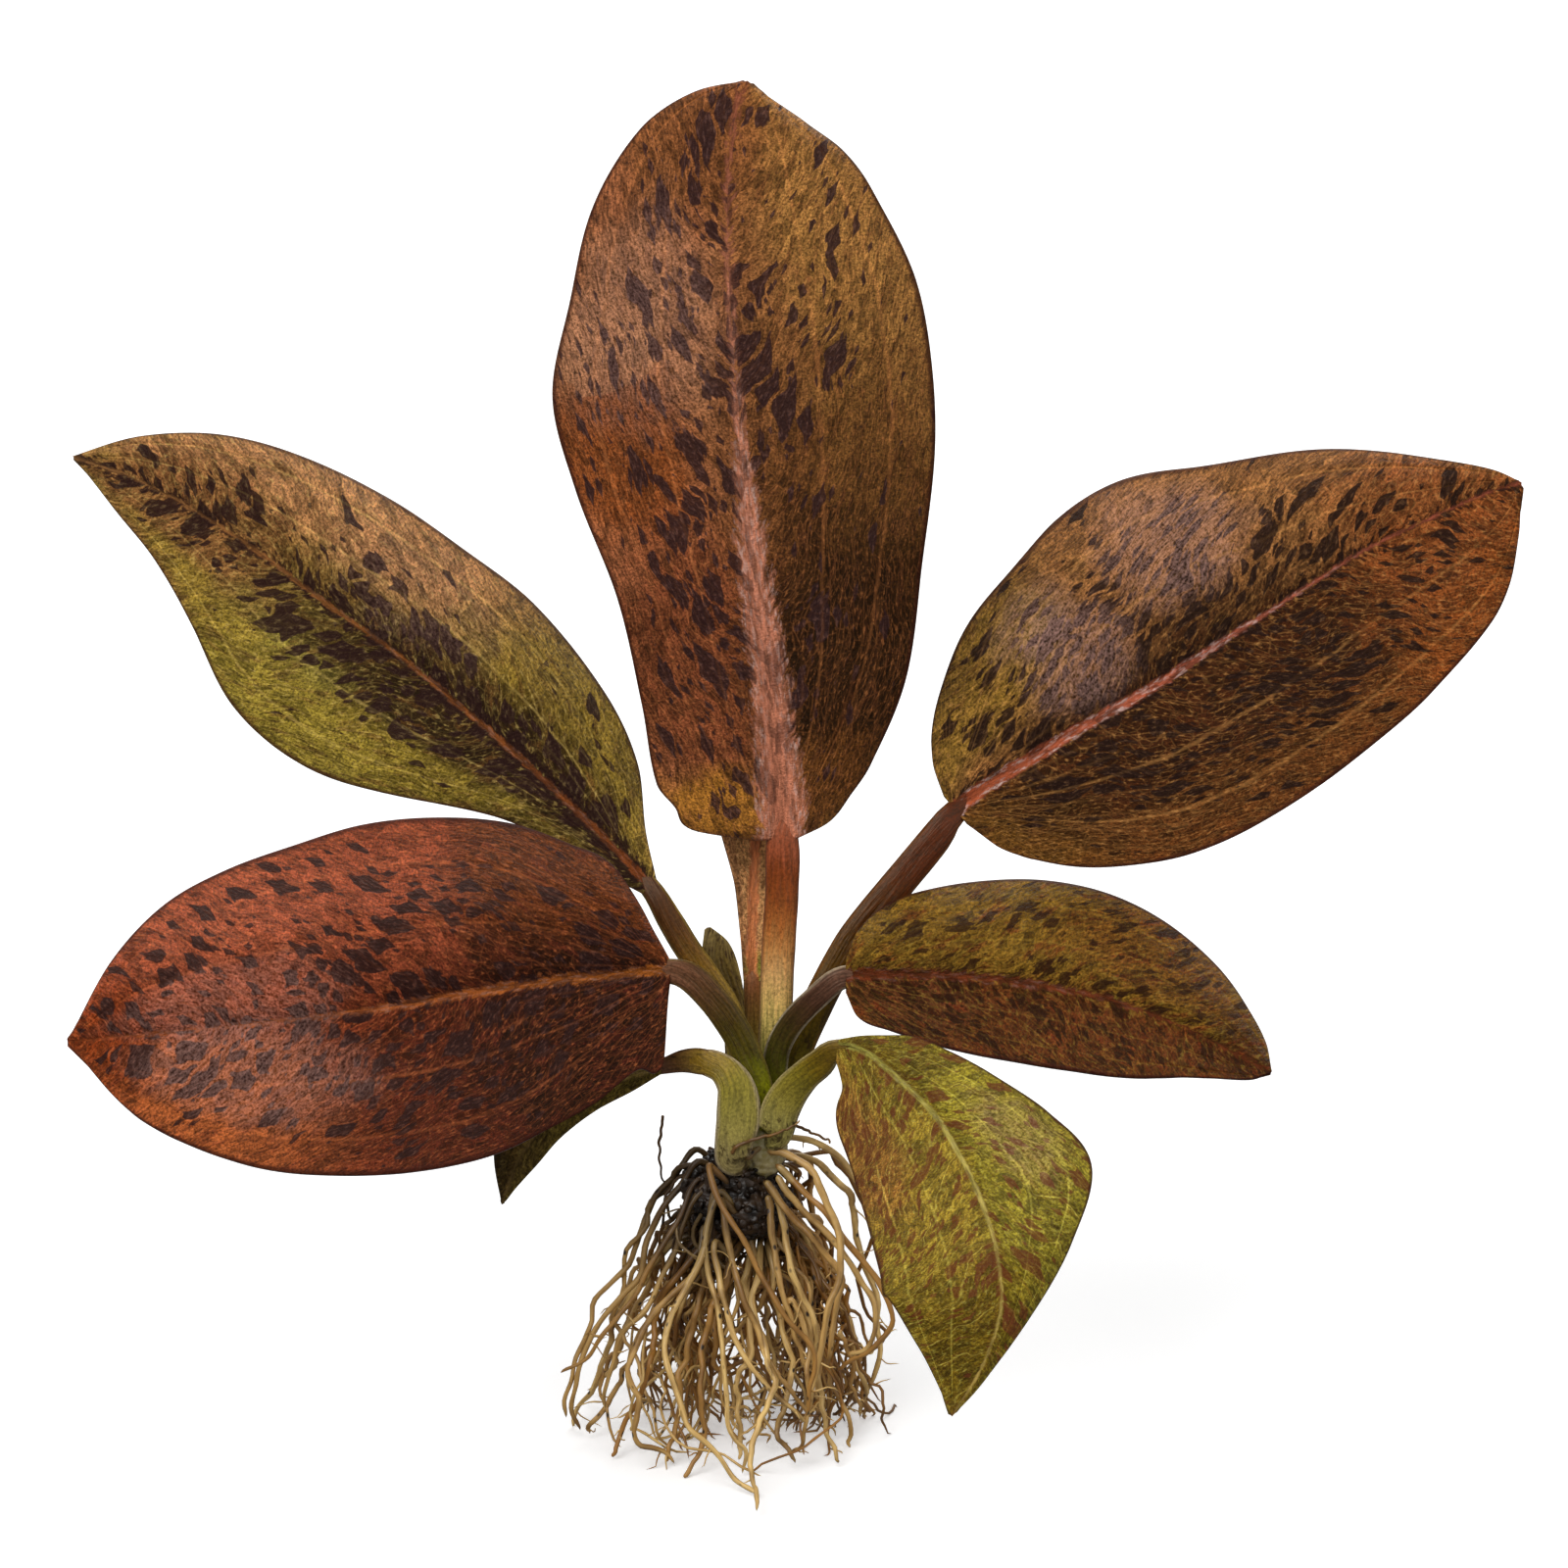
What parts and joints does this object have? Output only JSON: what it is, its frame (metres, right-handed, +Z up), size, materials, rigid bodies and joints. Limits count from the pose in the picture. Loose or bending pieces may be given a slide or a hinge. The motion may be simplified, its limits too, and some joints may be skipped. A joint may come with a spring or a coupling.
{
  "type": "amazon sword plant",
  "caption": "Bare-rooted rosette water plant with broad spotted red-brown and olive leaves on stalks, a short crown with soil, and a spread root mass it stands on.",
  "frame": {"origin": "point of the ground under the crown, in the middle of the root mass's flat underside", "axes": "+Z up, +X to the plant's right as seen from the front, where the lower leaves spread widest, +Y to its back"},
  "size_m": [0.2049, 0.1081, 0.1845],
  "materials": {
    "leaf_brown": "satin",
    "leaf_olive": "satin",
    "leaf_red": "satin",
    "stalk_red": "satin",
    "stalk_pale": "satin",
    "root_tan": "matte",
    "soil_black": "matte"
  },
  "bodies": {
    "root": {"tall_blade": "leaf_brown", "upper_left_blade": "leaf_olive", "lower_left_blade": "leaf_red", "upper_right_blade": "leaf_brown", "right_blade": "leaf_brown", "drooping_blade": "leaf_olive", "old_small_blade": "leaf_olive", "young_back_blade": "leaf_brown", "tall_stalk": "stalk_red", "upper_left_stalk": "stalk_red", "lower_left_stalk": "stalk_red", "upper_right_stalk": "stalk_red", "right_stalk": "stalk_red", "drooping_stalk": "stalk_pale", "old_small_stalk": "stalk_pale", "young_back_stalk": "stalk_pale", "spear_leaf": "leaf_olive", "old_leaf_base": "stalk_pale", "crown": "stalk_pale", "soil": "soil_black", "root_tangle": "root_tan", "root_01": "root_tan", "root_02": "root_tan", "root_03": "root_tan", "root_04": "root_tan", "root_05": "root_tan", "root_06": "root_tan", "root_07": "root_tan", "root_08": "root_tan", "root_09": "root_tan", "root_10": "root_tan", "root_11": "root_tan", "root_12": "root_tan", "root_13": "root_tan", "root_14": "root_tan", "root_15": "root_tan", "root_16": "root_tan", "root_17": "root_tan", "root_18": "root_tan", "root_19": "root_tan", "root_20": "root_tan", "root_21": "root_tan"}
  },
  "joints": []
}
